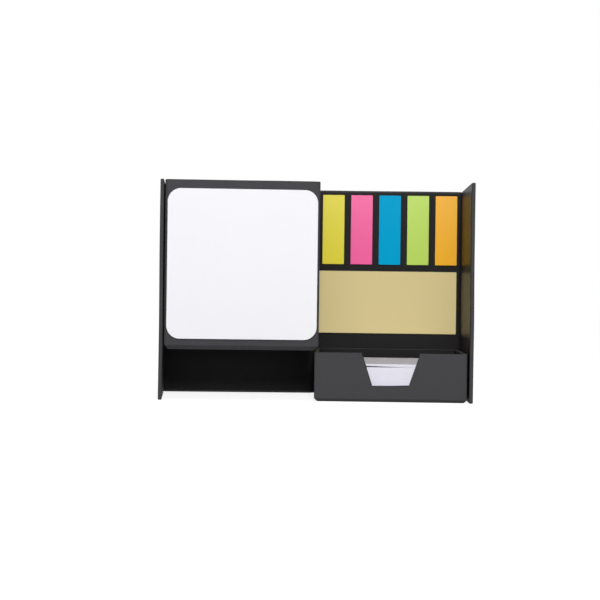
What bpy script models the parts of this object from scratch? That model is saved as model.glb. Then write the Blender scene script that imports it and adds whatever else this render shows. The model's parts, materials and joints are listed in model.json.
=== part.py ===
"""A folding desk cube: a strip of four covered boards wraps a pen cup, a memo tray and sticky pads.

The cube stands opened out. The back panel carries the pen cup and its note pad, the left flap
stands beside the cup, the side panel carries the tray and the sticky pads, and the front cover
stands at its far end. X runs along the back panel, the open side faces -Y and Z is up.
"""

import math

import bmesh
import bpy
from mathutils import Vector

# Driving dimensions, in metres

# The loose memo sheets and how they lie in the tray
MEMO_SIDE = 0.085
MEMO_STACK_HEIGHT = 0.0186
TOP_SHEETS_HEIGHT = 0.0018
SHEETS_GAP = 0.0003
MEMO_SIDE_CLEARANCE = 0.00135
MEMO_FRONT_CLEARANCE = 0.001
MEMO_BACK_CLEARANCE = 0.001

# The tray and its finger notch
TRAY_FLOOR_BOARD = 0.0019
TRAY_FREEBOARD = 0.0065
TRAY_FRONT_SETBACK = 0.0029
NOTCH_TOP_WIDTH = 0.0352
NOTCH_BOTTOM_WIDTH = 0.0228
NOTCH_DEPTH = 0.0197

# The flags and the sticky pad above the tray
FLAG_LENGTH = 0.045
FLAG_THICKNESS = 0.0018
FLAG_GAP = 0.0043
FLAG_TOP_MARGIN = 0.0029
FLAG_ROW_INSET = 0.0028
STICKY_HEIGHT = 0.0403
STICKY_THICKNESS = 0.0018
STICKY_GAP = 0.0044
STICKY_FOOT_MARGIN = 0.010
STICKY_END_MARGIN = 0.0027

# The note pad on the cup's front
NOTE_PAD_WIDTH = 0.090
NOTE_PAD_THICKNESS = 0.0014
NOTE_PAD_RADIUS = 0.0078
NOTE_PAD_SIDE_MARGIN = 0.00155
NOTE_PAD_TOP_MARGIN = 0.0054
NOTE_PAD_FOOT_MARGIN = 0.0064
BACKING_SHEET = 0.0003

# Boards, papers and magnets
COVER_BOARD = 0.0018
LINER_PAPER = 0.0003
LINER_INSET = 0.0012
WALL_BOARD = 0.002
CUP_FLOOR_BOARD = 0.0024
CUP_LINING = 0.0003
BOARD_EDGE_ROUND = 0.0004
MAGNET_RADIUS = 0.005
MAGNET_THICKNESS = 0.001
MAGNET_INSET = 0.014

# Clearances
SEAT_GAP = 0.0003
FOLD_GAP = 0.0003
TRAY_TO_CUP = 0.0008
TRAY_TO_COVER = 0.001
PAD_TO_CUP = 0.0007
PAD_TO_COVER = 0.0007
CUP_TO_FLAP = 0.0005
COVER_TO_FLAP = 0.0006
FLAP_TO_COVER = 0.0005
CUT_OVERRUN = 0.003

# The side panel stands a little towards closed, in degrees
FOLD_AT_REST = 5.0

# Flat sides of round pieces and of rounded edges, and the angle in degrees above which an edge
# of a round piece stays sharp
ROUND_SIDES = 32
CORNER_SIDES = 8
EDGE_SIDES = 2
SHARP_ANGLE = 40.0

# Finishes: the screen colour, the roughness and how metallic the surface is
COVER_PAPER = ((74, 73, 76), 0.7, 0.0)
LINING_PAPER = ((33, 31, 33), 0.65, 0.0)
WHITE_PAPER = ((245, 244, 247), 0.8, 0.0)
CREAM_PAPER = ((208, 191, 135), 0.75, 0.0)
STEEL = ((150, 150, 155), 0.35, 1.0)
FLAG_PAPERS = {
    "yellow": ((226, 214, 82), 0.75, 0.0),
    "pink": ((248, 112, 165), 0.75, 0.0),
    "blue": ((2, 161, 208), 0.75, 0.0),
    "green": ((189, 218, 109), 0.75, 0.0),
    "orange": ((249, 184, 58), 0.75, 0.0),
}

# Derived sizes

# Each panel is a covered board with a liner on its inner face, and folds about the middle of its
# thickness. A board starts one hinge setback away from the fold's axis.
panel_thickness = LINER_PAPER + SEAT_GAP + COVER_BOARD
face = panel_thickness / 2
setback = face + FOLD_GAP

# Along the side panel, measured from the middle fold's axis
tray_width = MEMO_SIDE + 2 * MEMO_SIDE_CLEARANCE + 2 * WALL_BOARD
tray_left = face + SEAT_GAP
tray_right = tray_left + tray_width
cover_axis_x = tray_right + TRAY_TO_COVER + face
sticky_right = cover_axis_x - face - STICKY_END_MARGIN
sticky_left = tray_left
flag_row_left = sticky_left + FLAG_ROW_INSET
flag_count = len(FLAG_PAPERS)
flag_width = (sticky_right - flag_row_left - (flag_count - 1) * FLAG_GAP) / flag_count

# Heights
memo_foot = TRAY_FLOOR_BOARD + SEAT_GAP
top_sheets_foot = memo_foot + MEMO_STACK_HEIGHT + SHEETS_GAP
tray_height = top_sheets_foot + TOP_SHEETS_HEIGHT + TRAY_FREEBOARD
sticky_foot = tray_height + STICKY_FOOT_MARGIN
flag_foot = sticky_foot + STICKY_HEIGHT + STICKY_GAP
panel_height = flag_foot + FLAG_LENGTH + FLAG_TOP_MARGIN
cup_foot = tray_height + TRAY_TO_CUP

# Along the back panel, measured from the middle fold's axis. The cup is as wide as its note pad
# needs, and no narrower than the tray that swings under it is deep.
tray_back = face + SEAT_GAP
memo_room = MEMO_FRONT_CLEARANCE + MEMO_SIDE + MEMO_BACK_CLEARANCE
tray_reach = tray_back + 2 * WALL_BOARD + memo_room
cup_right = -(face + SEAT_GAP + max(FLAG_THICKNESS, STICKY_THICKNESS) + PAD_TO_CUP)
pad_span = NOTE_PAD_WIDTH + 2 * NOTE_PAD_SIDE_MARGIN
tray_span = tray_reach + TRAY_FRONT_SETBACK + cup_right
cup_width = max(pad_span, tray_span)
cup_left = cup_right - cup_width
flap_axis_x = cup_left - CUP_TO_FLAP - face

# Depths, measured from a fold's axis towards the open side
closed_depth = cover_axis_x - face
cup_back = face + SEAT_GAP
pad_stack = SEAT_GAP + BACKING_SHEET + SEAT_GAP + NOTE_PAD_THICKNESS
cup_front = closed_depth - PAD_TO_COVER - pad_stack
tray_front = -cup_left - TRAY_FRONT_SETBACK
flap_end = closed_depth - FLAP_TO_COVER
cover_end = -(flap_axis_x + face) - COVER_TO_FLAP

# Magnets sit level with the middle of the cup, near the boards' free ends
magnet_z = (cup_foot + panel_height) / 2
cup_front_magnet_x = cup_left + MAGNET_INSET
cup_left_magnet_y = -(cup_front - MAGNET_INSET)

PARTS = "pen_holder_with_notepad"


def clear_scene():
    for obj in list(bpy.data.objects):
        bpy.data.objects.remove(obj, do_unlink=True)


def new_collection(name):
    made = bpy.data.collections.new(name)
    bpy.context.scene.collection.children.link(made)
    return made


def linear(channel):
    """One 8-bit screen channel as the linear value that a shader takes."""
    value = channel / 255
    if value <= 0.04045:
        return value / 12.92
    return ((value + 0.055) / 1.055) ** 2.4


def finish_material(name, finish):
    colour, roughness, metallic = finish
    made = bpy.data.materials.new(name)
    made.use_nodes = True
    shader = made.node_tree.nodes["Principled BSDF"]
    shader.inputs["Base Color"].default_value = [linear(c) for c in colour] + [1.0]
    shader.inputs["Roughness"].default_value = roughness
    shader.inputs["Metallic"].default_value = metallic
    return made


clear_scene()
parts = new_collection(PARTS)
cutters = new_collection("cutters")


def add_frame(name, parent, x, turn_degrees):
    """An empty on a fold's axis: the pieces under it turn about it."""
    empty = bpy.data.objects.new(name, None)
    parts.objects.link(empty)
    empty.parent = parent
    empty.location = (x, 0, 0)
    empty.rotation_euler = (0, 0, math.radians(turn_degrees))
    return empty


def place(name, bm, parent, centre, finish, collection=parts):
    """The mesh as a named object of its own finish, centred in its parent's frame."""
    bmesh.ops.recalc_face_normals(bm, faces=bm.faces)
    mesh = bpy.data.meshes.new(name)
    bm.to_mesh(mesh)
    bm.free()
    obj = bpy.data.objects.new(name, mesh)
    collection.objects.link(obj)
    obj.parent = parent
    obj.location = centre
    if finish:
        mesh.materials.append(finish_material(name + "_finish", finish))
    return obj


def box_mesh(low, high):
    bm = bmesh.new()
    bmesh.ops.create_cube(bm, size=1)
    bmesh.ops.scale(bm, vec=Vector(high) - Vector(low), verts=bm.verts)
    return bm


def add_box(name, parent, low, high, finish, collection=parts):
    low, high = Vector(low), Vector(high)
    return place(name, box_mesh(low, high), parent, (low + high) / 2, finish, collection)


def round_edges(obj, width=BOARD_EDGE_ROUND, segments=EDGE_SIDES):
    bevel = obj.modifiers.new("rounded_edges", "BEVEL")
    bevel.width = width
    bevel.segments = segments
    bevel.limit_method = "ANGLE"
    return obj


def add_board(name, parent, low, high, finish=COVER_PAPER):
    """A greyboard panel with its covering paper: a box with softly rounded edges."""
    return round_edges(add_box(name, parent, low, high, finish))


def add_disc(name, parent, centre, axis, radius, thickness, finish, collection=parts):
    bm = bmesh.new()
    bmesh.ops.create_cone(
        bm, cap_ends=True, segments=ROUND_SIDES, radius1=radius, radius2=radius, depth=thickness
    )
    disc = place(name, bm, parent, centre, finish, collection)
    disc.rotation_euler = Vector(axis).to_track_quat("Z", "Y").to_euler()
    disc.data.shade_smooth()
    disc.data.set_sharp_from_angle(angle=math.radians(SHARP_ANGLE))
    return disc


def cut(obj, cutter):
    """Cuts the helper out of the piece, before the piece's edges are rounded."""
    cutter.hide_render = True
    cutter.display_type = "WIRE"
    boolean = obj.modifiers.new("cut_" + cutter.name, "BOOLEAN")
    boolean.operation = "DIFFERENCE"
    boolean.solver = "EXACT"
    boolean.object = cutter
    return boolean


def add_magnet(name, board, parent, face_centre, into):
    """A disc magnet in a blind pocket of a board. face_centre lies on the board's open face and
    into points from there into the board."""
    face_centre, into = Vector(face_centre), Vector(into)
    pocket_depth = MAGNET_THICKNESS + SEAT_GAP
    pocket = add_disc(
        name + "_pocket",
        parent,
        face_centre + into * (pocket_depth - CUT_OVERRUN) / 2,
        into,
        MAGNET_RADIUS + SEAT_GAP,
        pocket_depth + CUT_OVERRUN,
        None,
        cutters,
    )
    cut(board, pocket)
    centre = face_centre + into * MAGNET_THICKNESS / 2
    return add_disc(name, parent, centre, into, MAGNET_RADIUS, MAGNET_THICKNESS, STEEL)


def add_panel(name, parent, start, end, inner):
    """A covered board and its liner, from start to end along the parent's X. Its inner face looks
    towards inner, which is 1 or -1 along the parent's Y."""
    board_faces = sorted((inner * (face - LINER_PAPER - SEAT_GAP), -inner * face))
    liner_faces = sorted((inner * face, inner * (face - LINER_PAPER)))
    low_x, high_x = sorted((start, end))
    board = add_board(
        name + "_board",
        parent,
        (low_x, board_faces[0], 0),
        (high_x, board_faces[1], panel_height),
    )
    add_box(
        name + "_liner",
        parent,
        (low_x + LINER_INSET, liner_faces[0], LINER_INSET),
        (high_x - LINER_INSET, liner_faces[1], panel_height - LINER_INSET),
        LINING_PAPER,
    )
    return board


def add_fold(name, parent, x):
    """The papers that join two boards at a fold, gathered as a round bead on the fold's axis."""
    centre = (x, 0, panel_height / 2)
    return add_disc(name, parent, centre, (0, 0, 1), face, panel_height, COVER_PAPER)


# The four panels and their folds

back = add_frame("back_frame", None, 0, 0)
flap = add_frame("flap_axis", back, flap_axis_x, -90)
side = add_frame("middle_axis", back, 0, -FOLD_AT_REST)
cover = add_frame("cover_axis", side, cover_axis_x, -90)

add_panel("back", back, flap_axis_x + setback, -setback, -1)
flap_board = add_panel("left_flap", flap, setback, flap_end, 1)
add_panel("side", side, setback, cover_axis_x - setback, -1)
cover_board = add_panel("front_cover", cover, setback, cover_end, -1)

add_fold("flap_fold", back, flap_axis_x)
add_fold("middle_fold", back, 0)
add_fold("cover_fold", side, cover_axis_x)


# The pen cup: a full floor board with four walls on it, lined with black paper

cup_wall_foot = cup_foot + CUP_FLOOR_BOARD + SEAT_GAP
cup_inner_left = cup_left + WALL_BOARD
cup_inner_right = cup_right - WALL_BOARD
cup_inner_front = -(cup_front - WALL_BOARD)
cup_inner_back = -(cup_back + WALL_BOARD)

add_board(
    "cup_floor",
    back,
    (cup_left, -cup_front, cup_foot),
    (cup_right, -cup_back, cup_foot + CUP_FLOOR_BOARD),
)
cup_front_wall = add_board(
    "cup_front_wall",
    back,
    (cup_left, -cup_front, cup_wall_foot),
    (cup_right, cup_inner_front, panel_height),
)
add_board(
    "cup_back_wall",
    back,
    (cup_left, cup_inner_back, cup_wall_foot),
    (cup_right, -cup_back, panel_height),
)
cup_left_wall = add_board(
    "cup_left_wall",
    back,
    (cup_left, cup_inner_front + SEAT_GAP, cup_wall_foot),
    (cup_inner_left, cup_inner_back - SEAT_GAP, panel_height),
)
add_board(
    "cup_right_wall",
    back,
    (cup_inner_right, cup_inner_front + SEAT_GAP, cup_wall_foot),
    (cup_right, cup_inner_back - SEAT_GAP, panel_height),
)


def add_cup_lining():
    """A paper box without a lid, just inside the walls: an open shell given its thickness."""
    low = Vector((cup_inner_left + SEAT_GAP, cup_inner_front + SEAT_GAP, cup_wall_foot))
    high = Vector(
        (cup_inner_right - SEAT_GAP, cup_inner_back - SEAT_GAP, panel_height - LINER_INSET)
    )
    bm = box_mesh(low, high)
    top = max(bm.faces, key=lambda f: f.calc_center_median().z)
    bmesh.ops.delete(bm, geom=[top], context="FACES_ONLY")
    lining = place("cup_lining", bm, back, (low + high) / 2, LINING_PAPER)
    shell = lining.modifiers.new("paper_thickness", "SOLIDIFY")
    shell.thickness = CUP_LINING
    shell.offset = -1
    shell.use_even_offset = True


add_cup_lining()


# The note pad on the cup's front, over its backing sheet

note_pad_foot = cup_foot + NOTE_PAD_FOOT_MARGIN
note_pad_top = panel_height - NOTE_PAD_TOP_MARGIN
note_pad_middle = (cup_left + cup_right) / 2
note_pad_left = note_pad_middle - NOTE_PAD_WIDTH / 2
note_pad_right = note_pad_middle + NOTE_PAD_WIDTH / 2


def add_rounded_sheet(name, front, thickness):
    """A sheet with four round corners, its back face towards the cup."""
    low = Vector((note_pad_left, -(front + thickness), note_pad_foot))
    high = Vector((note_pad_right, -front, note_pad_top))
    bm = box_mesh(low, high)
    corners = [e for e in bm.edges if e.verts[0].co.y * e.verts[1].co.y < 0]
    bmesh.ops.bevel(
        bm,
        geom=corners,
        offset=NOTE_PAD_RADIUS,
        segments=CORNER_SIDES,
        profile=0.5,
        affect="EDGES",
    )
    return place(name, bm, back, (low + high) / 2, WHITE_PAPER)


backing_back = cup_front + SEAT_GAP
add_rounded_sheet("note_pad_backing", backing_back, BACKING_SHEET)
add_rounded_sheet("note_pad", backing_back + BACKING_SHEET + SEAT_GAP, NOTE_PAD_THICKNESS)


# The memo tray: a full floor board with four walls on it, the front one notched

tray_wall_foot = TRAY_FLOOR_BOARD + SEAT_GAP
tray_inner_left = tray_left + WALL_BOARD
tray_inner_right = tray_right - WALL_BOARD
tray_inner_front = -(tray_front - WALL_BOARD)
tray_inner_back = -(tray_back + WALL_BOARD)

add_board("tray_floor", side, (tray_left, -tray_front, 0), (tray_right, -tray_back, TRAY_FLOOR_BOARD))
add_board(
    "tray_back_wall",
    side,
    (tray_left, tray_inner_back, tray_wall_foot),
    (tray_right, -tray_back, tray_height),
)
add_board(
    "tray_left_wall",
    side,
    (tray_left, tray_inner_front + SEAT_GAP, tray_wall_foot),
    (tray_inner_left, tray_inner_back - SEAT_GAP, tray_height),
)
add_board(
    "tray_right_wall",
    side,
    (tray_inner_right, tray_inner_front + SEAT_GAP, tray_wall_foot),
    (tray_right, tray_inner_back - SEAT_GAP, tray_height),
)


def add_notch_cutter():
    """A wedge with the notch's slanted sides, run on above the wall at the same slant."""
    slant = (NOTCH_TOP_WIDTH - NOTCH_BOTTOM_WIDTH) / NOTCH_DEPTH
    top_width = NOTCH_TOP_WIDTH + slant * CUT_OVERRUN
    foot = tray_height - NOTCH_DEPTH
    middle = (tray_left + tray_right) / 2
    low = Vector((middle - top_width / 2, -(tray_front + CUT_OVERRUN), foot))
    high = Vector((middle + top_width / 2, tray_inner_front + CUT_OVERRUN, tray_height + CUT_OVERRUN))
    bm = box_mesh(low, high)
    for vert in bm.verts:
        if vert.co.z < 0:
            vert.co.x *= NOTCH_BOTTOM_WIDTH / top_width
    return place("notch_cutter", bm, side, (low + high) / 2, None, cutters)


tray_front_wall = add_box(
    "tray_front_wall",
    side,
    (tray_left, -tray_front, tray_wall_foot),
    (tray_right, tray_inner_front, tray_height),
    COVER_PAPER,
)
cut(tray_front_wall, add_notch_cutter())
round_edges(tray_front_wall)


# The loose sheets in the tray: the stack, and the few top sheets that lie a little proud of it

memo_left = tray_inner_left + MEMO_SIDE_CLEARANCE
memo_front = tray_inner_front + MEMO_FRONT_CLEARANCE

for sheets, foot, height in (
    ("memo_stack", memo_foot, MEMO_STACK_HEIGHT),
    ("memo_top_sheets", top_sheets_foot, TOP_SHEETS_HEIGHT),
):
    add_box(
        sheets,
        side,
        (memo_left, memo_front, foot),
        (memo_left + MEMO_SIDE, memo_front + MEMO_SIDE, foot + height),
        WHITE_PAPER,
    )


# The sticky pads on the side panel

pad_back = -(face + SEAT_GAP)

for number, (colour_name, finish) in enumerate(FLAG_PAPERS.items()):
    left = flag_row_left + number * (flag_width + FLAG_GAP)
    add_box(
        "flag_" + colour_name,
        side,
        (left, pad_back - FLAG_THICKNESS, flag_foot),
        (left + flag_width, pad_back, flag_foot + FLAG_LENGTH),
        finish,
    )
add_box(
    "sticky_pad",
    side,
    (sticky_left, pad_back - STICKY_THICKNESS, sticky_foot),
    (sticky_right, pad_back, sticky_foot + STICKY_HEIGHT),
    CREAM_PAPER,
)


# Two pairs of magnets hold the cube shut: front cover to cup front, and flap to cup side. In
# each pair the discs face each other when the panel lies against the cup.

board_face = face - LINER_PAPER - SEAT_GAP

add_magnet(
    "cup_front_magnet",
    cup_front_wall,
    back,
    (cup_front_magnet_x, cup_inner_front, magnet_z),
    (0, -1, 0),
)
add_magnet(
    "cup_left_magnet",
    cup_left_wall,
    back,
    (cup_inner_left, cup_left_magnet_y, magnet_z),
    (-1, 0, 0),
)
add_magnet(
    "front_cover_magnet",
    cover_board,
    cover,
    (-cup_front_magnet_x, -board_face, magnet_z),
    (0, 1, 0),
)
add_magnet(
    "left_flap_magnet",
    flap_board,
    flap,
    (-cup_left_magnet_y, board_face, magnet_z),
    (0, -1, 0),
)


def stand_at_origin():
    """Moves the whole to stand on Z = 0 with its box centred on the Z axis."""
    bpy.context.view_layer.update()
    graph = bpy.context.evaluated_depsgraph_get()
    solids = [obj.evaluated_get(graph) for obj in parts.objects if obj.type == "MESH"]
    points = [obj.matrix_world @ vert.co for obj in solids for vert in obj.data.vertices]
    low = Vector([min(p[i] for p in points) for i in range(3)])
    high = Vector([max(p[i] for p in points) for i in range(3)])
    middle = (low + high) / 2
    back.location = (-middle.x, -middle.y, -low.z)
    bpy.context.view_layer.update()


stand_at_origin()
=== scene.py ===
import json
import math
import random

import bmesh
import bpy
from mathutils import Matrix, Vector, noise


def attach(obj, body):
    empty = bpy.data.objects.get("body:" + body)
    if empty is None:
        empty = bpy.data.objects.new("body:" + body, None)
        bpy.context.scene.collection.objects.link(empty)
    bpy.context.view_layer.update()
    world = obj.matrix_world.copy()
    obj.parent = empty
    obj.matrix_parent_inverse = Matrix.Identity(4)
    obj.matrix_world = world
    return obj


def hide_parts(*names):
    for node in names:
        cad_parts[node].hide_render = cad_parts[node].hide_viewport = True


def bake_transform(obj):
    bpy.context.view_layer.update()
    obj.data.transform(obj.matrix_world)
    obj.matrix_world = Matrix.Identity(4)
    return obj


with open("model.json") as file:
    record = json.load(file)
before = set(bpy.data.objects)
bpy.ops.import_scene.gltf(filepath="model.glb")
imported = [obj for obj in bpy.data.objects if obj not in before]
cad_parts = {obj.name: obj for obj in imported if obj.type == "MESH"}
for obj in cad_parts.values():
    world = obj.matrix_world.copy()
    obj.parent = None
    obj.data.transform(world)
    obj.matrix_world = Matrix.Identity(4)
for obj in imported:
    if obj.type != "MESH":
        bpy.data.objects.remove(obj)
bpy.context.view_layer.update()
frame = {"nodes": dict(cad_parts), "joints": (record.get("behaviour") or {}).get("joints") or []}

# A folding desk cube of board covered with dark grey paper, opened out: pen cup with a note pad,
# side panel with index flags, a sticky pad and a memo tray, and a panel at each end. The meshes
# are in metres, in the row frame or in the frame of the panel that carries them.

MM = 0.001

# The camera of the photograph: place in metres, yaw, pitch and roll in degrees, lens in mm

CAMERA_PLACE = (-0.07941, -1.105775, 0.063012)
CAMERA_YAW, CAMERA_PITCH, CAMERA_ROLL = -3.524, -0.129, -0.746
CAMERA_LENS = 106.73


def turn(degrees, axis):
    return Matrix.Rotation(math.radians(degrees), 4, axis)


camera = bpy.data.objects.new("photo_camera", bpy.data.cameras.new("photo_camera"))
camera.data.sensor_width = 36.0
camera.data.lens = CAMERA_LENS
camera.data.clip_start = 0.01
camera.data.clip_end = 100.0
bpy.context.scene.collection.objects.link(camera)
camera.matrix_world = (
    Matrix.Translation(CAMERA_PLACE)
    @ turn(CAMERA_YAW, "Z")
    @ turn(CAMERA_PITCH, "X")
    @ turn(CAMERA_ROLL, "Y")
    @ turn(90, "X")
)
bpy.context.scene.camera = camera
bpy.context.scene.view_settings.view_transform = "Standard"


# Frames of the four panels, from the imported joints. In each, X runs along the panel from its
# fold and Y across it; the open side of the cube is at -Y of the back panel.

fold = {joint["name"]: Vector(joint["pos_m"]) for joint in frame["joints"]}
middle_axis, cover_axis, flap_axis = fold["side_fold"], fold["cover_fold_open"], fold["flap_fold_open"]
side_run = cover_axis - middle_axis
side_turn = math.degrees(math.atan2(side_run.y, side_run.x))

back = Matrix.Translation(middle_axis)
flap = Matrix.Translation(flap_axis) @ turn(-90, "Z")
side = Matrix.Translation(middle_axis) @ turn(side_turn, "Z")
cover = Matrix.Translation(cover_axis) @ turn(side_turn - 90, "Z")


def local_box(place, *nodes):
    """Lowest and highest corner of CAD nodes, in a panel's frame."""
    to_local = place.inverted()
    points = [to_local @ v.co for n in nodes for v in frame["nodes"][n].data.vertices]
    low = Vector([min(p[i] for p in points) for i in range(3)])
    high = Vector([max(p[i] for p in points) for i in range(3)])
    return low, high


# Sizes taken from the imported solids

back_low, back_high = local_box(back, "back_board", "back_liner")
side_low, side_high = local_box(side, "side_board", "side_liner")
flap_low, flap_high = local_box(flap, "left_flap_board", "left_flap_liner")
cover_low, cover_high = local_box(cover, "front_cover_board", "front_cover_liner")
height = back_high.z
face = back_high.y
setback = side_low.x
liner_inset = local_box(back, "back_liner")[0].z

# Sizes of the papers

EDGE_ROUND = 0.5 * MM
FREE_END_ROUND = 1.05 * MM
BOARD_TOP_ROUND = 0.45 * MM
CUT_ROUND = 0.05 * MM
LINER_INTO_FOLD = 0.1 * MM
PAPER = 0.16 * MM
PROUD = 0.02 * MM
SHARP_ANGLE = 35.0
WEAR_FROM, WEAR_FULL = 0.02, 0.2

# How finely corners and rounded edges are stepped

CORNER_STEPS, EDGE_STEPS = 5, 3

# How far hand-made boards stray from flat, and over what length

STRAY, STRAY_LENGTH = 0.17 * MM, 32 * MM

# Unseeded, noise_vector is drawn from the clock and each run strays in another way

noise.seed_set(1)


# Materials


def new_material(name):
    made = bpy.data.materials.new(name)
    made.use_nodes = True
    tree = made.node_tree
    return made, tree, tree.nodes["Principled BSDF"]


def add_node(tree, kind, settings=None, **inputs):
    made = tree.nodes.new(kind)
    for key, value in (settings or {}).items():
        setattr(made, key, value)
    for key, value in inputs.items():
        name = key.replace("_", " ")
        socket = made.inputs[name]
        if isinstance(value, bpy.types.NodeSocket):
            tree.links.new(value, socket)
        else:
            socket.default_value = value
    return made


def math_node(tree, operation, first, second):
    made = tree.nodes.new("ShaderNodeMath")
    made.operation = operation
    for socket, value in zip(made.inputs, (first, second)):
        if isinstance(value, bpy.types.NodeSocket):
            tree.links.new(value, socket)
        else:
            socket.default_value = value
    return made.outputs[0]


def noise_of(tree, coordinates, scale, detail=2.0, rough=0.5, stretch=(1, 1, 1), shift=(0, 0, 0)):
    """Noise with features of about 1 / scale metres, finer along the axes with more stretch."""
    mapping = add_node(tree, "ShaderNodeMapping", Vector=coordinates, Scale=stretch, Location=shift)
    return add_node(
        tree,
        "ShaderNodeTexNoise",
        Vector=mapping.outputs["Vector"],
        Scale=scale,
        Detail=detail,
        Roughness=rough,
    ).outputs["Fac"]


def remap(tree, value, low, high, start=0.0, end=1.0):
    made = tree.nodes.new("ShaderNodeMapRange")
    tree.links.new(value, made.inputs["Value"])
    made.inputs["From Min"].default_value = low
    made.inputs["From Max"].default_value = high
    made.inputs["To Min"].default_value = start
    made.inputs["To Max"].default_value = end
    return made.outputs["Result"]


def mix_colours(tree, factor, first, second):
    made = tree.nodes.new("ShaderNodeMix")
    made.data_type = "RGBA"
    tree.links.new(factor, made.inputs["Factor"])
    colour_a, colour_b, mixed = made.inputs[6], made.inputs[7], made.outputs[2]
    for socket, value in ((colour_a, first), (colour_b, second)):
        if isinstance(value, bpy.types.NodeSocket):
            tree.links.new(value, socket)
        else:
            socket.default_value = (*value, 1.0)
    return mixed


def shade(colour, share):
    """The colour made lighter or darker by a share."""
    return tuple(min(1.0, c * share) for c in colour)


def weighted_sum(tree, first, first_share, second, second_share):
    scaled = math_node(tree, "MULTIPLY", first, first_share)
    return math_node(tree, "ADD", scaled, math_node(tree, "MULTIPLY", second, second_share))


def finish_surface(tree, shader, colour, grain, rough, spread, specular, relief, strength, depth):
    """Joins a colour, a roughness that follows the grain, and a relief to the shader."""
    tree.links.new(colour, shader.inputs["Base Color"])
    gloss = remap(tree, grain, 0.3, 0.7, rough - spread, rough + spread)
    tree.links.new(gloss, shader.inputs["Roughness"])
    shader.inputs["Specular IOR Level"].default_value = specular
    bump = add_node(tree, "ShaderNodeBump", Strength=strength, Distance=depth, Height=relief)
    tree.links.new(bump.outputs["Normal"], shader.inputs["Normal"])


def covering_paper(name, colour, rough, specular, contrast, wear, wear_colour):
    """Dyed paper: cloudy pulp, short fibres, a fine tooth, and edges rubbed lighter."""
    made, tree, shader = new_material(name)
    place = tree.nodes.new("ShaderNodeTexCoord").outputs["Object"]
    clouds = noise_of(tree, place, 45, 3)
    pulp = noise_of(tree, place, 900, 4, 0.65)
    fibres_up = noise_of(tree, place, 260, 2, 0.5, (4.5, 4.5, 1))
    fibres_along = noise_of(tree, place, 240, 2, 0.5, (1, 1, 5), (0.13, 0.4, 0.2))
    fibres = math_node(tree, "MAXIMUM", fibres_up, fibres_along)
    tooth = noise_of(tree, place, 4200, 2, 0.6)

    flecks = remap(tree, fibres, 0.58, 0.8)
    body = weighted_sum(tree, remap(tree, clouds, 0.3, 0.7), 0.35, pulp, 0.65)
    colour_out = mix_colours(tree, body, shade(colour, 1 - contrast), shade(colour, 1 + contrast))
    fleck_share = math_node(tree, "MULTIPLY", flecks, 0.35)
    colour_out = mix_colours(tree, fleck_share, colour_out, shade(colour, 1 + 2.6 * contrast))
    edge = add_node(tree, "ShaderNodeAttribute", {"attribute_name": "wear"}).outputs["Fac"]
    patches = remap(tree, noise_of(tree, place, 320, 4, 0.7), 0.42, 0.66)
    rubbed = math_node(tree, "MULTIPLY", math_node(tree, "MULTIPLY", edge, patches), wear)
    colour_out = mix_colours(tree, rubbed, colour_out, wear_colour)

    relief = weighted_sum(tree, tooth, 0.5, pulp, 0.7)
    relief = math_node(tree, "ADD", relief, math_node(tree, "MULTIPLY", flecks, 0.5))
    finish_surface(tree, shader, colour_out, pulp, rough, 0.06, specular, relief, 0.55, 0.04 * MM)
    return made


def sheet_paper(name, colour, rough, specular, layers, tint):
    """Writing paper: nearly even on its face. At its cut edges it has fine lines across the axis
    of its layers, and tint is how much of its colour is left in them."""
    contrast = 0.02
    made, tree, shader = new_material(name)
    place = tree.nodes.new("ShaderNodeTexCoord").outputs["Object"]
    clouds = noise_of(tree, place, 70, 3)
    pulp = noise_of(tree, place, 1600, 3, 0.6)
    stretch = [1.0, 1.0, 1.0]
    stretch["XYZ".index(layers)] = 90.0
    lines = noise_of(tree, place, 38, 2, 0.6, stretch)

    body = weighted_sum(tree, clouds, 0.5, pulp, 0.5)
    colour_out = mix_colours(tree, body, shade(colour, 1 - contrast), shade(colour, 1 + contrast))
    edge = add_node(tree, "ShaderNodeAttribute", {"attribute_name": "cut_edge"}).outputs["Fac"]
    streaks = math_node(tree, "MULTIPLY", remap(tree, lines, 0.35, 0.7), edge)
    colour_out = mix_colours(tree, streaks, colour_out, shade(colour, tint))

    relief = math_node(tree, "ADD", pulp, math_node(tree, "MULTIPLY", streaks, 1.5))
    finish_surface(tree, shader, colour_out, pulp, rough, 0.05, specular, relief, 0.35, 0.03 * MM)
    return made


def brushed_steel():
    made, tree, shader = new_material("magnet_finish")
    place = tree.nodes.new("ShaderNodeTexCoord").outputs["Object"]
    scratches = noise_of(tree, place, 600, 3, 0.6, (1, 1, 12))
    colour = mix_colours(tree, scratches, (0.5, 0.5, 0.51), (0.7, 0.7, 0.72))
    tree.links.new(colour, shader.inputs["Base Color"])
    tree.links.new(remap(tree, scratches, 0.3, 0.7, 0.22, 0.4), shader.inputs["Roughness"])
    shader.inputs["Metallic"].default_value = 1.0
    return made


grey = covering_paper(
    "grey_covering_paper",
    (0.0565, 0.0549, 0.0587),
    rough=0.58,
    specular=0.055,
    contrast=0.06,
    wear=0.12,
    wear_colour=(0.1, 0.098, 0.1),
)
black = covering_paper(
    "black_lining_paper",
    (0.0155, 0.0146, 0.0152),
    rough=0.36,
    specular=0.03,
    contrast=0.14,
    wear=0.3,
    wear_colour=(0.03, 0.029, 0.03),
)
FLAG_COLOURS = {
    "yellow": (0.81, 0.705, 0.03),
    "pink": (0.95, 0.112, 0.352),
    "blue": (0.0002, 0.39, 0.695),
    "green": (0.51, 0.735, 0.102),
    "orange": (0.98, 0.468, 0.003),
}
memo_white = sheet_paper("memo_sheets", (0.83, 0.815, 0.905), 0.75, 0.08, "Z", 0.95)
flag_films = {
    name: sheet_paper(name + "_film", colour, 0.32, 0.008 if name == "blue" else 0.1, "Y", 0.82)
    for name, colour in FLAG_COLOURS.items()
}
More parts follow.
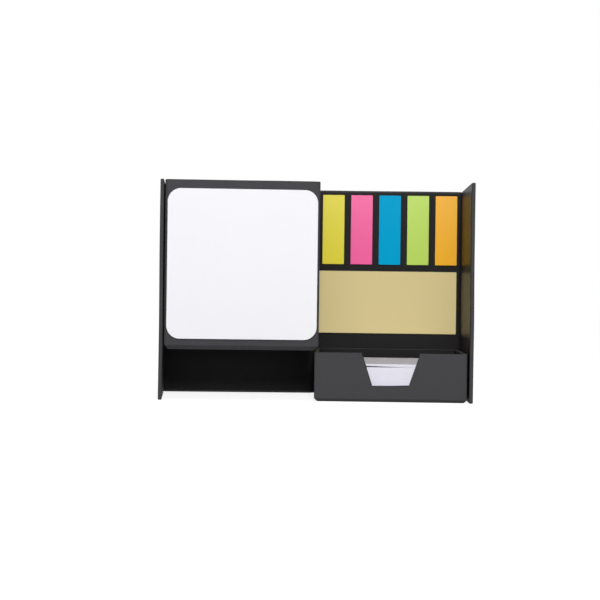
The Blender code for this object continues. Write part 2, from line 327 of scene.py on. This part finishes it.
pad_white = sheet_paper("white_sheets", (0.89, 0.885, 0.915), 0.65, 0.03, "Y", 0.9)
pad_cream = sheet_paper("cream_sheets", (0.765, 0.64, 0.315), 0.65, 0.04, "Y", 0.82)
steel = brushed_steel()


# Meshes


def finish_mesh(bm, name, smooth=True):
    bmesh.ops.remove_doubles(bm, verts=bm.verts, dist=1e-7)
    bmesh.ops.recalc_face_normals(bm, faces=bm.faces)
    mesh = bpy.data.meshes.new(name)
    bm.to_mesh(mesh)
    bm.free()
    if smooth:
        mesh.shade_smooth()
        mesh.set_sharp_from_angle(angle=math.radians(SHARP_ANGLE))
    return mesh


def mark_wear(mesh):
    """Stores how far each face turns away from the flat sides, where paper is rubbed."""
    values = []
    for polygon in mesh.polygons:
        turned = 1.0 - max(abs(c) for c in polygon.normal)
        values.append(min(1.0, max(0.0, (turned - WEAR_FROM) / (WEAR_FULL - WEAR_FROM))))
    mesh.attributes.new("wear", "FLOAT", "FACE").data.foreach_set("value", values)


def add_piece(name, mesh, place, body, materials, nodes=(), weighted=True):
    """A finished mesh as a piece on a body, in the place of the CAD nodes that it stands for."""
    made = bpy.data.objects.new(name, mesh)
    bpy.context.scene.collection.objects.link(made)
    made.matrix_world = place
    for material in materials:
        mesh.materials.append(material)
    if weighted:
        normals = made.modifiers.new("even_shading", "WEIGHTED_NORMAL")
        normals.keep_sharp = True
    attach(made, body)
    if nodes:
        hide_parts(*nodes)


def smooth_step(value):
    value = min(1.0, max(0.0, value))
    return value * value * (3 - 2 * value)


def let_stray(bm, amount, held=()):
    """Moves points by a smooth random field, so that no edge is dead straight. The foot stays
    level, and each of held is an X near which nothing moves."""
    for vert in bm.verts:
        free = 1.0
        for x in held:
            free = min(free, smooth_step(abs(vert.co.x - x) / (12 * MM)))
        push = noise.noise_vector(vert.co / STRAY_LENGTH) * amount * free
        push.z *= smooth_step(vert.co.z / (8 * MM))
        vert.co += push


def box_bmesh(low, high):
    bm = bmesh.new()
    bmesh.ops.create_cube(bm, size=1)
    low, high = Vector(low), Vector(high)
    bmesh.ops.scale(bm, vec=high - low, verts=bm.verts)
    bmesh.ops.translate(bm, vec=(low + high) / 2, verts=bm.verts)
    return bm


def arc(x, y, radius, start, steps):
    """Points of a quarter circle about a centre, anticlockwise from an angle in degrees."""
    angles = [math.radians(start + 90 * step / steps) for step in range(steps + 1)]
    return [(x + radius * math.cos(angle), y + radius * math.sin(angle)) for angle in angles]


def quarter_round(radius):
    """A rounded edge, from its face to its end: how far each point lies in from the face, and
    how far from the end."""
    angles = [math.pi / 2 * step / EDGE_STEPS for step in range(EDGE_STEPS + 1)]
    return [(radius * (1 - math.cos(angle)), radius * (1 - math.sin(angle))) for angle in angles]


def board_plan(low, high, near_round, far_round, inset, runs):
    """Plan of a board that runs along X, anticlockwise, with runs stretches on each long side."""
    least = 0.1 * MM
    near, far = max(near_round - inset, least), max(far_round - inset, least)
    x0, x1 = low[0] + inset, high[0] - inset
    y0, y1 = low[1] + inset, high[1] - inset
    corners = (
        (x1 - far, y1 - far, far, 0),
        (x0 + near, y1 - near, near, 90),
        (x0 + near, y0 + near, near, 180),
        (x1 - far, y0 + far, far, 270),
    )
    points = []
    for number, corner in enumerate(corners):
        turned = arc(*corner, CORNER_STEPS)
        if number in (1, 3):
            before, first = Vector(points[-1]), Vector(turned[0])
            points += [tuple(before.lerp(first, i / runs)) for i in range(1, runs)]
        points += turned
    return points


def board_mesh(name, low, high, near_round, far_round, top_round, held=()):
    """A paper-covered board: every edge is softly rounded where the paper turns over it, and the
    board strays a little from flat."""
    levels, runs = 22, 16
    span = high[2] - low[2] - 2 * top_round
    stations = [(inset, low[2] + up) for up, inset in quarter_round(top_round)]
    stations += [(0.0, low[2] + top_round + span * level / levels) for level in range(1, levels)]
    stations += [(inset, high[2] - down) for inset, down in quarter_round(top_round)]
    rings = []
    for inset, level in stations:
        plan = board_plan(low, high, near_round, far_round, inset, runs)
        rings.append([(x, y, level) for x, y in plan])
    bm = loft(rings)
    let_stray(bm, STRAY, held)
    mesh = finish_mesh(bm, name)
    mark_wear(mesh)
    return mesh


def round_rectangle(low, high, radius, steps):
    """Outline points of a rectangle with round corners, anticlockwise."""
    x0, x1 = low[0] + radius, high[0] - radius
    y0, y1 = low[1] + radius, high[1] - radius
    centres = ((x1, y1, 0), (x0, y1, 90), (x0, y0, 180), (x1, y0, 270))
    return [point for x, y, start in centres for point in arc(x, y, radius, start, steps)]


def loft(rings, material_of_band=None):
    """A closed skin through rings of as many points each, with a flat cap at both ends."""
    bm = bmesh.new()
    rows = [[bm.verts.new(p) for p in ring] for ring in rings]
    count = len(rows[0])
    for band, (lower, upper) in enumerate(zip(rows, rows[1:])):
        for i in range(count):
            j = (i + 1) % count
            made = bm.faces.new((lower[i], lower[j], upper[j], upper[i]))
            made.material_index = material_of_band[band] if material_of_band else 0
    bm.faces.new(rows[0][::-1])
    last = bm.faces.new(rows[-1])
    last.material_index = material_of_band[-1] if material_of_band else 0
    return bm


def tray_shell(low, high, wall, floor, corner, foot, rim_round, lining_from):
    """An open box of covered board. Its foot slants under, its rim is rounded on both sides, and
    inside, from lining_from below the rim, a lining paper begins. Each station says how far in
    it lies, its height, and the material of the band that leads up to it."""
    foot_in, foot_up = foot
    foot_curve = ((1.0, 0.0), (0.9, 0.03), (0.8, 0.12), (0.45, 0.5), (0.12, 0.88), (0.03, 0.98))
    crease = low[2] + foot_up
    shares_up = (0.04, 0.15, 0.3, 0.5, 0.7, 0.85, 0.96)
    least, runs = 0.25 * MM, 12
    stations = [(foot_in * inward, low[2] + foot_up * up, 0) for inward, up in foot_curve]
    stations.append((0.0, crease + 0.15 * MM, 0))
    stations += [(0.0, crease + share * (high[2] - crease), 0) for share in shares_up]
    stations += [(inset, high[2] - down, 0) for inset, down in quarter_round(rim_round)]
    stations += [(wall - inset, high[2] - down, 0) for down, inset in quarter_round(rim_round)]
    stations.append((wall, high[2] - lining_from, 0))
    stations.append((wall + PAPER, high[2] - lining_from, 1))
    stations.append((wall + PAPER, low[2] + floor + PAPER, 1))
    rings = []
    for inset, level, _ in stations:
        radius = max(corner - inset, least)
        lowest, highest = (low[0] + inset, low[1] + inset), (high[0] - inset, high[1] - inset)
        outline = board_plan(lowest, highest, radius, radius, 0.0, runs)
        rings.append([(x, y, level) for x, y in outline])
    bands = [station[2] for station in stations[1:]] + [1]
    return loft(rings, bands)


def layered_block(low, high, sheets, seed, slip, lean, axis="Z", corner=0.3 * MM, steps=1):
    """A stack of cut sheets: one closed skin whose sides step in and out from sheet to sheet.
    slip is how far a sheet strays by itself, and lean how far the whole stack leans in waves."""
    rng = random.Random(seed)
    first, second, third = (0, 1, 2) if axis == "Z" else (0, 2, 1)
    start, end = low[third], high[third]
    rings = []
    drift = [rng.uniform(0, 6.28) for _ in range(4)]
    for sheet in range(sheets):
        share = sheet / max(1, sheets - 1)
        shift_u = lean * 0.5 * math.sin(drift[0] + 5 * share) + rng.gauss(0, slip * 0.5)
        shift_v = lean * 0.5 * math.sin(drift[1] + 6 * share) + rng.gauss(0, slip * 0.5)
        inset = abs(rng.gauss(0, slip * 0.5)) + lean * 0.5 + slip
        outline = round_rectangle(
            (low[first] + inset + shift_u, low[second] + inset + shift_v),
            (high[first] - inset + shift_u, high[second] - inset + shift_v),
            corner,
            steps,
        )
        for level in (sheet, sheet + 1):
            w = start + (end - start) * level / sheets
            rings.append([(u, v, w) if axis == "Z" else (u, w, v) for u, v in outline])
    return loft(rings), third


def bent_pad(low, high, sheets, seed, bend):
    """A pad of sheets with its back on a panel. bend gives, for a share of the height, the share
    of the thickness that the pad has there."""
    slip, corner, rows = 0.03 * MM, 0.25 * MM, 18
    rng = random.Random(seed)
    length = high[2] - low[2]
    stations = [(0.0, corner)]
    stations += [(corner + (length - 2 * corner) * row / rows, 0.0) for row in range(rows + 1)]
    stations.append((length, corner))
    bm = bmesh.new()
    levels = []
    for sheet in range(sheets):
        shift_x, shift_z = rng.gauss(0, slip / 2), rng.gauss(0, slip / 2)
        inset = slip + abs(rng.gauss(0, slip / 2))
        for side_of_sheet in (sheet, sheet + 1):
            level = []
            for up, cut_in in stations:
                z = low[2] + inset + shift_z + up * (1 - 2 * inset / length)
                y = high[1] + (low[1] - high[1]) * (1 - side_of_sheet / sheets) * bend(up / length)
                left = low[0] + inset + cut_in + shift_x
                right = high[0] - inset - cut_in + shift_x
                level.append((bm.verts.new((left, y, z)), bm.verts.new((right, y, z))))
            levels.append(level)
    for level in (levels[0], levels[-1]):
        for (a, b), (c, d) in zip(level, level[1:]):
            bm.faces.new((a, b, d, c))
    for near, far in zip(levels, levels[1:]):
        for side_number in (0, 1):
            edge_near = [pair[side_number] for pair in near]
            edge_far = [pair[side_number] for pair in far]
            for i in range(len(stations) - 1):
                bm.faces.new((edge_near[i], edge_near[i + 1], edge_far[i + 1], edge_far[i]))
        for row in (0, -1):
            bm.faces.new((near[row][0], near[row][1], far[row][1], far[row][0]))
    return bm


def mark_cut_edges(mesh, third):
    """Stores which faces look sideways out of their stack, as a face attribute."""
    values = [float(abs(polygon.normal[third]) < 0.5) for polygon in mesh.polygons]
    mesh.attributes.new("cut_edge", "FLOAT", "FACE").data.foreach_set("value", values)


def add_stack(name, bm, third, place, body, slot, material, nodes, smooth=False):
    """A stack or pad as a piece. third is the axis across its sheets."""
    mesh = finish_mesh(bm, name, smooth)
    mark_cut_edges(mesh, third)
    add_piece(name, mesh, place, body, [material], nodes, weighted=False)


# The four covered boards with their liners. The liner runs on into the folds, and stands back
# from the other edges, where the turned-in grey paper shows.


def add_panel(name, place, body, low, high, inner, open_end, node_name):
    """inner is the side of the panel, 1 or -1 along Y, that carries the liner."""
    if inner < 0:
        board_low, board_high = (low.x, -face + PAPER, low.z), (high.x, face, high.z)
        liner_low, liner_high = -face, -face + PAPER + PROUD
    else:
        board_low, board_high = (low.x, -face, low.z), (high.x, face - PAPER, high.z)
        liner_low, liner_high = face - PAPER - PROUD, face
    far_round = FREE_END_ROUND if open_end else EDGE_ROUND
    held = (low.x,) if open_end else (low.x, high.x)
    add_piece(
        name + "_covered_board",
        board_mesh(name, board_low, board_high, EDGE_ROUND, far_round, BOARD_TOP_ROUND, held),
        place,
        body,
        [grey],
        [node_name + "_board"],
    )
    liner_end = high.x - (liner_inset if open_end else 0.0)
    add_piece(
        name + "_lining",
        board_mesh(
            name + "_lining",
            (low.x - LINER_INTO_FOLD, liner_low, liner_inset),
            (liner_end, liner_high, height - liner_inset),
            CUT_ROUND,
            CUT_ROUND,
            CUT_ROUND,
            held,
        ),
        place,
        body,
        [black],
        [node_name + "_liner"],
    )


add_panel("back_panel", back, "back", back_low, back_high, -1, False, "back")
add_panel("side_panel", side, "side", side_low, side_high, -1, False, "side")
add_panel("left_flap", flap, "flap", flap_low, flap_high, 1, True, "left_flap")
add_panel("front_cover", cover, "cover", cover_low, cover_high, -1, True, "front_cover")


# The folds: the outer paper and the liner run over the gap between two boards and sink into it

FOLD_ROWS, CREASE_UNEVEN = 33, 0.07 * MM
TURNED_IN_DEPTH, TURNED_IN_BELOW, TURNED_IN_CROWN = 2.5 * MM, 0.3 * MM, 0.3 * MM
COVER_SPAN = (0.05 * MM, height - 0.05 * MM)
LINING_SPAN = (liner_inset, height - liner_inset)


def paper_strip(name, outline, thickness, foot, top, seed):
    """A paper bent along an outline, in XY of the row frame, with slightly uneven creases."""
    path = [Vector(p) for p in outline]
    sides = []
    for i in range(len(path)):
        before, after = path[max(0, i - 1)], path[min(len(path) - 1, i + 1)]
        along = (after - before).normalized()
        sides.append(Vector((-along.y, along.x)) * thickness)
    rings = []
    for row in range(FOLD_ROWS):
        level = foot + (top - foot) * row / (FOLD_ROWS - 1)
        near, far = [], []
        for i, point in enumerate(path):
            edge = min(i, len(path) - 1 - i)
            push = 0.0
            if edge > 1:
                push = CREASE_UNEVEN * noise.noise(Vector((i * 0.7, level * 90, seed)))
            offset = sides[i].normalized() * push
            near.append((point.x + offset.x, point.y + offset.y, level))
            far_point = point + sides[i] + offset
            far.append((far_point.x, far_point.y, level))
        rings.append(near + far[::-1])
    return finish_mesh(loft(rings), name)


def in_frame(place, points):
    """Points in millimetres of a panel's frame as row-frame XY."""
    moved = [place @ Vector((x * MM, y * MM, 0)) for x, y in points]
    return [(p.x, p.y) for p in moved]


def bend_with(mesh, material, nodes=()):
    """A finished mesh as a piece in the row frame, with wear marked, its material given and its place
    baked into the mesh.
    """
    mark_wear(mesh)
    made = bpy.data.objects.new(mesh.name, mesh)
    bpy.context.scene.collection.objects.link(made)
    mesh.materials.append(material)
    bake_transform(made)
    if nodes:
        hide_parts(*nodes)


def add_cover_paper(name, outline, side_sign, seed):
    mesh = paper_strip(name + "_cover_paper", outline, side_sign * PAPER, *COVER_SPAN, seed)
    bend_with(mesh, grey, [name])


def add_fold_lining(name, outline, side_sign, seed):
    mesh = paper_strip(name + "_lining", outline, side_sign * PAPER, *LINING_SPAN, seed)
    bend_with(mesh, black)


def add_turned_in(name, outline):
    """The covering paper that is turned in between the boards at a fold's foot and top."""
    depth, below, crown = TURNED_IN_DEPTH, TURNED_IN_BELOW, TURNED_IN_CROWN
    count = len(outline)
    centre = Vector((sum(p[0] for p in outline) / count, sum(p[1] for p in outline) / count))
    small = [tuple(centre.lerp(Vector(p), 0.8)) for p in outline]
    for part, low in (("foot", below), ("top", height - below - depth)):
        levels = (
            (small, low),
            (outline, low + crown),
            (outline, low + depth - crown),
            (small, low + depth),
        )
        rings = [[(x, y, level) for x, y in points] for points, level in levels]
        mesh = finish_mesh(loft(rings), name + "_turned_in_" + part)
        bend_with(mesh, grey)


# In millimetres: half a panel's thickness, how far a board stands back from its fold's axis, and
# the level of a paper that lies on a panel's face

f = face / MM
s = setback / MM
out = f + 0.02


def both_sides(half):
    """An outline over the middle fold, from its half on the back panel."""
    return in_frame(back, half) + in_frame(side, [(-x, y) for x, y in half[::-1]])


# Middle fold: nearly flat, sunk between the boards on both sides

outer = both_sides(
    [(-s - 0.9, out), (-s - 0.3, out), (-s + 0.1, f - 0.08), (-s + 0.6, f - 0.32), (-0.45, f - 0.5)]
)
inner = both_sides(
    [(-s - 0.7, -out), (-s - 0.2, -out), (-s + 0.2, -f + 0.12), (-s + 0.7, -f + 0.38), (-0.35, -f + 0.5)]
)
between = both_sides([(-s + 0.02, f - 0.14), (-s + 0.6, f - 0.42), (-0.45, f - 0.6)])
between += both_sides([(-s + 0.02, -f + 0.2), (-s + 0.7, -f + 0.48), (-0.35, -f + 0.6)])[::-1]
add_cover_paper("middle_fold", outer, -1, 1.0)
add_fold_lining("middle_fold", inner, 1, 2.0)
add_turned_in("middle_fold", between)


def corner_fold(name, near, far, sign, seed):
    """A fold that stands at a right angle. near and far are the frames of its two panels, and
    sign says which way the near panel runs from the fold along its own X."""
    centre = near.translation.xy
    start_point = Vector(in_frame(near, [(sign * 0.5, f - 0.04)])[0]) - centre
    end_point = Vector(in_frame(far, [(0.5, -sign * (f - 0.04))])[0]) - centre
    steps = 6
    bend = []
    for step in range(steps + 1):
        share = step / steps
        point = start_point.lerp(end_point, share)
        bend.append(point.normalized() * (1 + 0.1 * abs(0.5 - share)))

    outer = in_frame(
        near, [(sign * (s + 0.9), out), (sign * (s + 0.3), out), (sign * (s - 0.3), f - 0.03)]
    )
    outer += [tuple(centre + point * (f - 0.04) * MM) for point in bend]
    outer += in_frame(
        far, [(s - 0.3, -sign * (f - 0.03)), (s + 0.3, -sign * out), (s + 0.9, -sign * out)]
    )
    add_cover_paper(name, outer, -sign, seed)

    inner = in_frame(
        near, [(sign * (s + 0.6), -out), (sign * (s + 0.1), -out), (sign * (s - 0.2), -f + 0.12)]
    )
    inner += in_frame(near, [(sign * (f - 0.26), -f + 0.26)])
    inner += in_frame(
        far, [(s - 0.2, sign * (f - 0.12)), (s + 0.1, sign * out), (s + 0.6, sign * out)]
    )
    add_fold_lining(name, inner, sign, seed + 0.5)

    between = in_frame(near, [(sign * (s - 0.02), f - 0.14)])
    between += [tuple(centre + point * (f - 0.2) * MM) for point in bend]
    between += in_frame(far, [(s - 0.02, -sign * (f - 0.14)), (s - 0.02, sign * (f - 0.2))])
    between += in_frame(near, [(sign * (f - 0.4), -f + 0.4), (sign * (s - 0.02), -f + 0.2)])
    add_turned_in(name, between)


near_flap = Matrix.Translation(flap_axis)
near_cover = Matrix.Translation(cover_axis) @ turn(side_turn, "Z")
corner_fold("flap_fold", near_flap, flap, 1, 3.0)
corner_fold("cover_fold", near_cover, cover, -1, 5.0)


def stray_shell(*sizes):
    bm = tray_shell(*sizes)
    let_stray(bm, 0.6 * STRAY)
    return bm


# The pen cup, glued with its back to the back panel

CUP_CORNER, CUP_RIM, CUP_LINING_FROM = 1.5 * MM, 0.55 * MM, 12 * MM
CUP_FOOT = (3.1 * MM, 2.6 * MM)
CUP_LINING, CUP_LINING_CORNER = 0.35 * MM, 0.4 * MM

cup_nodes = ["cup_floor", "cup_front_wall", "cup_back_wall", "cup_left_wall", "cup_right_wall"]
cup_low, cup_high = local_box(back, *cup_nodes)
cup_wall = local_box(back, "cup_left_wall")[1].x - cup_low.x
cup_floor = local_box(back, "cup_floor")[1].z - cup_low.z
cup_high.y = -face + PROUD
cup_shell = stray_shell(
    cup_low, cup_high, cup_wall, cup_floor, CUP_CORNER, CUP_FOOT, CUP_RIM, CUP_LINING_FROM
)
cup_mesh = finish_mesh(cup_shell, "pen_cup")
mark_wear(cup_mesh)
add_piece("pen_cup", cup_mesh, back, "back", [grey, black], cup_nodes)


def lining_shell(low, high, thickness, corner):
    """A thin open box of paper with a slightly uneven cut rim."""
    rings = []
    levels = (
        (0.0, low[2]),
        (0.0, high[2]),
        (0.15 * thickness, high[2]),
        (thickness, high[2] - 4 * thickness),
        (thickness, low[2] + thickness),
    )
    for inset, level in levels:
        outline = round_rectangle(
            (low[0] + inset, low[1] + inset), (high[0] - inset, high[1] - inset), corner, EDGE_STEPS
        )
        rings.append([(x, y, level) for x, y in outline])
    bm = loft(rings)
    let_stray(bm, 0.6 * STRAY)
    return bm


lining_low = Vector(
    (cup_low.x + cup_wall + PROUD, cup_low.y + cup_wall + PROUD, cup_low.z + cup_floor + PROUD)
)
lining_high = Vector(
    (cup_high.x - cup_wall - PROUD, cup_high.y - cup_wall - PROUD, height - liner_inset)
)
lining_mesh = finish_mesh(
    lining_shell(lining_low, lining_high, CUP_LINING, CUP_LINING_CORNER), "cup_lining_paper"
)
mark_wear(lining_mesh)
add_piece("cup_lining_paper", lining_mesh, back, "back", [black], ["cup_lining"])


# The note pad

pad_low, pad_high = local_box(back, "note_pad")
backing_front = local_box(back, "note_pad_backing")[0].y
PAD_SHAPE = {"axis": "Y", "corner": 7.8 * MM, "steps": 14}
card = layered_block(
    (pad_low.x, backing_front, pad_low.z),
    (pad_high.x, cup_low.y + PROUD, pad_high.z),
    sheets=2,
    seed=11,
    slip=0.01 * MM,
    lean=0.02 * MM,
    **PAD_SHAPE,
)
add_stack(
    "note_pad_backing_card", *card, back, "back", "white_paper", pad_white, ["note_pad_backing"]
)
pad_sheets = layered_block(
    pad_low,
    (pad_high.x, backing_front, pad_high.z),
    sheets=16,
    seed=12,
    slip=0.03 * MM,
    lean=0.06 * MM,
    **PAD_SHAPE,
)
add_stack("note_pad_sheets", *pad_sheets, back, "back", "white_paper", pad_white, ["note_pad"])


# The memo tray with its finger notch

TRAY_CORNER, TRAY_RIM, TRAY_LINING_FROM = 1.0 * MM, 0.22 * MM, 0.26 * MM
TRAY_FOOT = (2.1 * MM, 1.8 * MM)
NOTCH_TOP_WIDTH, NOTCH_BOTTOM_WIDTH, NOTCH_DEPTH = 35.2 * MM, 22.8 * MM, 19.7 * MM
NOTCH_ROUND, NOTCH_ROUND_ANGLE = 0.35 * MM, 55

tray_nodes = ["tray_floor", "tray_front_wall", "tray_back_wall", "tray_left_wall", "tray_right_wall"]
tray_low, tray_high = local_box(side, *tray_nodes)
tray_wall = local_box(side, "tray_left_wall")[1].x - tray_low.x
tray_floor = local_box(side, "tray_floor")[1].z
tray_high.y = -face + PROUD
notch_middle = (tray_low.x + tray_high.x) / 2
notch_foot = tray_high.z - NOTCH_DEPTH


def notched_tray():
    bm = stray_shell(
        tray_low, tray_high, tray_wall, tray_floor, TRAY_CORNER, TRAY_FOOT, TRAY_RIM, TRAY_LINING_FROM
    )
    shell = bpy.data.objects.new("memo_tray_draft", finish_mesh(bm, "memo_tray_draft"))
    bpy.context.scene.collection.objects.link(shell)
    shell.data.materials.append(grey)
    shell.data.materials.append(black)

    over, behind = 3 * MM, 1.2 * MM
    slant = (NOTCH_TOP_WIDTH - NOTCH_BOTTOM_WIDTH) / 2 / NOTCH_DEPTH
    bm = box_bmesh(
        (notch_middle - 0.5, tray_low.y - over, notch_foot),
        (notch_middle + 0.5, tray_low.y + tray_wall + behind, tray_high.z + over),
    )
    half_foot, half_top = NOTCH_BOTTOM_WIDTH / 2, NOTCH_TOP_WIDTH / 2 + slant * over
    for vert in bm.verts:
        half = half_foot if vert.co.z < tray_high.z else half_top
        vert.co.x = notch_middle + math.copysign(half, vert.co.x - notch_middle)
    cutter = bpy.data.objects.new("notch_draft", finish_mesh(bm, "notch_draft", smooth=False))
    cutter.data.materials.append(grey)
    bpy.context.scene.collection.objects.link(cutter)
    boolean = shell.modifiers.new("notch", "BOOLEAN")
    boolean.operation = "DIFFERENCE"
    boolean.solver = "EXACT"
    boolean.object = cutter
    bevel = shell.modifiers.new("paper_round", "BEVEL")
    bevel.width = NOTCH_ROUND
    bevel.segments = 2
    bevel.limit_method = "ANGLE"
    bevel.angle_limit = math.radians(NOTCH_ROUND_ANGLE)
    bpy.context.view_layer.update()
    graph = bpy.context.evaluated_depsgraph_get()
    mesh = bpy.data.meshes.new_from_object(shell.evaluated_get(graph))
    for draft in (shell, cutter):
        bpy.data.objects.remove(draft)
    mesh.name = "memo_tray"
    mesh.shade_smooth()
    mesh.set_sharp_from_angle(angle=math.radians(SHARP_ANGLE))
    mark_wear(mesh)
    return mesh


add_piece("memo_tray", notched_tray(), side, "side", [], tray_nodes)


def notch_painted_shade():
    """Painted shade at the notch: a black paper strip inside the front wall whose edge shows as a dark
    sliver along the notch's left side and widens along its foot, standing in for the shadow in the gap
    between the wall and the sheets."""
    foot, top, under = notch_foot, tray_high.z - 0.4 * MM, notch_foot - 2 * MM
    left_top = notch_middle - NOTCH_TOP_WIDTH / 2
    left_foot = notch_middle - NOTCH_BOTTOM_WIDTH / 2
    right_foot = notch_middle + NOTCH_BOTTOM_WIDTH / 2
    right_top = notch_middle + NOTCH_TOP_WIDTH / 2
    seen = [
        (left_top + 0.5 * MM, top),
        (left_foot + 0.4 * MM, foot + 0.08 * MM),
        (notch_middle, foot + 0.12 * MM),
        (right_foot - 1.2 * MM, foot + 0.5 * MM),
        (right_foot - 0.3 * MM, foot + 0.45 * MM),
        (right_top - 0.15 * MM, top),
    ]
    hidden = [
        (left_top - 2 * MM, top),
        (left_foot - 1.5 * MM, under),
        (notch_middle, under),
        (right_foot - 1.2 * MM, under),
        (right_foot + 1.5 * MM, under),
        (right_top + 2 * MM, top),
    ]
    near = tray_low.y + tray_wall + PAPER + PROUD
    far = near + PAPER
    rings = [
        [(ax, near, az), (bx, near, bz), (bx, far, bz), (ax, far, az)]
        for (ax, az), (bx, bz) in zip(seen, hidden)
    ]
    mesh = finish_mesh(loft(rings), "notch_painted_shade_edge", smooth=False)
    mark_wear(mesh)
    return mesh


# The black strip at the notch is painted shade for the shadowed gap between the front wall and the
# sheets
add_piece("notch_painted_shade_edge", notch_painted_shade(), side, "side", [black], weighted=False)


# The loose sheets in the tray

stack_low, stack_high = local_box(side, "memo_stack")
top_low, top_high = local_box(side, "memo_top_sheets")
stack = layered_block(
    (stack_low.x, stack_low.y, tray_floor + PAPER),
    stack_high,
    sheets=62,
    seed=21,
    slip=0.07 * MM,
    lean=0.25 * MM,
)
add_stack("memo_sheets", *stack, side, "side", "white_paper", memo_white, ["memo_stack"])


def lifted_sheets(low, high, sheets, seed):
    """The few sheets on top, which lift off the stack a little towards their left end and curl
    up towards the back."""
    bm, third = layered_block(low, high, sheets, seed, slip=0.1 * MM, lean=0.2 * MM)
    bmesh.ops.subdivide_edges(
        bm, edges=[e for e in bm.edges if e.calc_length() > 50 * MM], cuts=24, use_grid_fill=True
    )
    for vert in bm.verts:
        share, depth, level = ((vert.co[i] - low[i]) / (high[i] - low[i]) for i in range(3))
        lift = 0.7 * MM * (1 - smooth_step((share - 0.3) / 0.38)) * (1 - 0.5 * depth)
        curl = 1.05 * MM * depth * depth
        foot = stack_high.z + 0.04 * MM + lift
        top = high[2] - 0.2 * MM
        vert.co.z = foot + (top - foot) * level + curl
    return bm, third


loose = lifted_sheets(top_low, top_high, sheets=6, seed=22)
add_stack(
    "memo_top_sheets_loose", *loose, side, "side", "white_paper", memo_white, ["memo_top_sheets"]
)


# The index flags and the sticky pad on the side panel


def add_bent_pad(node_name, name, slot, material, sheets, seed, bend):
    low, high = local_box(side, node_name)
    bm = bent_pad(low, (high.x, -face + PROUD, high.z), sheets, seed, bend)
    add_stack(name, bm, 1, side, "side", slot, material, [node_name], smooth=True)


def flag_bend(share):
    """Flags are glued at their tops, where the pad is pressed thin, and fan out below."""
    return 1 - 0.6 * share * share


def sticky_bend(share):
    """The sticky pad is glued along its top and lifts a little at its free lower edge."""
    return 0.88 + 0.12 * smooth_step((1 - share) / 0.9)


for number, (colour_name, film) in enumerate(flag_films.items()):
    flag = "flag_" + colour_name
    add_bent_pad(
        flag, flag + "_pad", colour_name + "_paper", film, sheets=14, seed=31 + number, bend=flag_bend
    )
add_bent_pad(
    "sticky_pad",
    "sticky_pad_sheets",
    "cream_paper",
    pad_cream,
    sheets=16,
    seed=41,
    bend=sticky_bend,
)


# The magnets stay where the solids are, inside their boards

for node_name in ("cup_front_magnet", "cup_left_magnet", "left_flap_magnet", "front_cover_magnet"):
    magnet = frame["nodes"][node_name]
    magnet.data.materials.clear()
    magnet.data.materials.append(steel)


# Floor, background and light


def seen_directly(tree):
    """1 for camera, glossy and transmitted rays."""
    rays = tree.nodes.new("ShaderNodeLightPath").outputs
    seen = math_node(tree, "MAXIMUM", rays["Is Camera Ray"], rays["Is Glossy Ray"])
    return math_node(tree, "MAXIMUM", seen, rays["Is Transmission Ray"])


FLOOR_COLOUR = (0.5, 0.5, 0.5)
FLOOR_LIFT = 0.82
FLOOR_HALF_WIDTH = 8.0
AMBIENT = 0.205
WHITE = (1.0, 1.0, 1.0, 1.0)

bm = bmesh.new()
bmesh.ops.create_grid(bm, x_segments=8, y_segments=8, size=FLOOR_HALF_WIDTH)
floor = bpy.data.objects.new("floor", finish_mesh(bm, "floor", smooth=False))
bpy.context.scene.collection.objects.link(floor)
made, tree, shader = new_material("floor_white")
shader.inputs["Base Color"].default_value = (*FLOOR_COLOUR, 1.0)
shader.inputs["Roughness"].default_value = 0.9
shader.inputs["Specular IOR Level"].default_value = 0.0
lift = math_node(tree, "MULTIPLY", seen_directly(tree), FLOOR_LIFT)
shader.inputs["Emission Color"].default_value = WHITE
tree.links.new(lift, shader.inputs["Emission Strength"])
floor.data.materials.append(made)

world = bpy.data.worlds.new("studio")
bpy.context.scene.world = world
world.use_nodes = True
tree = world.node_tree
ambient = tree.nodes["Background"]
ambient.inputs["Color"].default_value = WHITE
ambient.inputs["Strength"].default_value = AMBIENT
white = add_node(tree, "ShaderNodeBackground", Color=WHITE, Strength=1.0)
either = tree.nodes.new("ShaderNodeMixShader")
tree.links.new(seen_directly(tree), either.inputs[0])
tree.links.new(ambient.outputs[0], either.inputs[1])
tree.links.new(white.outputs[0], either.inputs[2])
tree.links.new(either.outputs[0], tree.nodes["World Output"].inputs["Surface"])


def add_lamp(name, kind, comes_from, target, energy, **settings):
    lamp = bpy.data.lights.new(name, kind)
    lamp.energy = energy
    for key, value in settings.items():
        setattr(lamp, key, value)
    made = bpy.data.objects.new(name, lamp)
    bpy.context.scene.collection.objects.link(made)
    aim = Vector(target) - Vector(comes_from)
    turned = aim.to_track_quat("-Z", "Y").to_matrix().to_4x4()
    made.matrix_world = Matrix.Translation(comes_from) @ turned


CENTRE = (0.0, 0.0, 0.08)
add_lamp("front_key", "AREA", (-0.04, -1.1, 0.38), CENTRE, 7.2, shape="DISK", size=0.16)
add_lamp(
    "low_fill", "AREA", (-0.05, -1.1, 0.07), CENTRE, 2.0, shape="RECTANGLE", size=0.8, size_y=0.2
)
add_lamp("top_softbox", "AREA", (0.0, -0.2, 0.8), CENTRE, 0.8, shape="SQUARE", size=0.45)
add_lamp("back_fill", "SUN", (0.35, 2.0, 0.9), CENTRE, 1.3, angle=math.radians(30))
